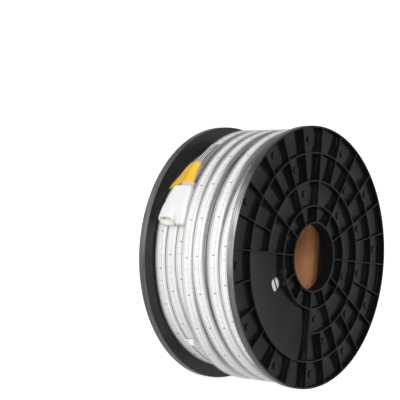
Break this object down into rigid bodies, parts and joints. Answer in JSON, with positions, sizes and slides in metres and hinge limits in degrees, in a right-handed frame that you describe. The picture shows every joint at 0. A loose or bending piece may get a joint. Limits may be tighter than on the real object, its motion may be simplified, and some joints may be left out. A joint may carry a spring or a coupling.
{
  "type": "led rope light on a reel",
  "caption": "White LED rope light wound in ridged layers on a black plastic reel with a cardboard core, a white connector and a yellow tag on its outer end.",
  "frame": {"origin": "centre of the reel's box on the plane that the rear flange's ribs stand on", "axes": "+Z along the reel's axis from the rear flange to the front flange; -Y towards the connector side that the picture shows"},
  "size_m": [0.3, 0.3, 0.1338],
  "materials": {
    "reel_black": "glossy moulded black polystyrene with ribs",
    "core_card": "matt brown spiral-wound cardboard",
    "rope_white": "clear glossy sleeve over a white tape with LEDs",
    "connector_white": "semi-gloss moulded white plastic",
    "carrier_beige": "satin beige insulating plastic",
    "pin_metal": "tinned pins, slightly dull",
    "seal_clear": "milky soft seal",
    "tag_yellow": "matt yellow paper, folded",
    "tie_white": "white nylon"
  },
  "bodies": {
    "root": {"front_flange": "reel_black", "rear_flange": "reel_black", "core_tube": "core_card", "rope_winding": "rope_white", "connector_housing": "connector_white", "contact_carrier": "carrier_beige", "contact_pin_1": "pin_metal", "contact_pin_2": "pin_metal", "rope_seal": "seal_clear", "rope_tag": "tag_yellow", "rope_tie": "tie_white"}
  },
  "joints": []
}
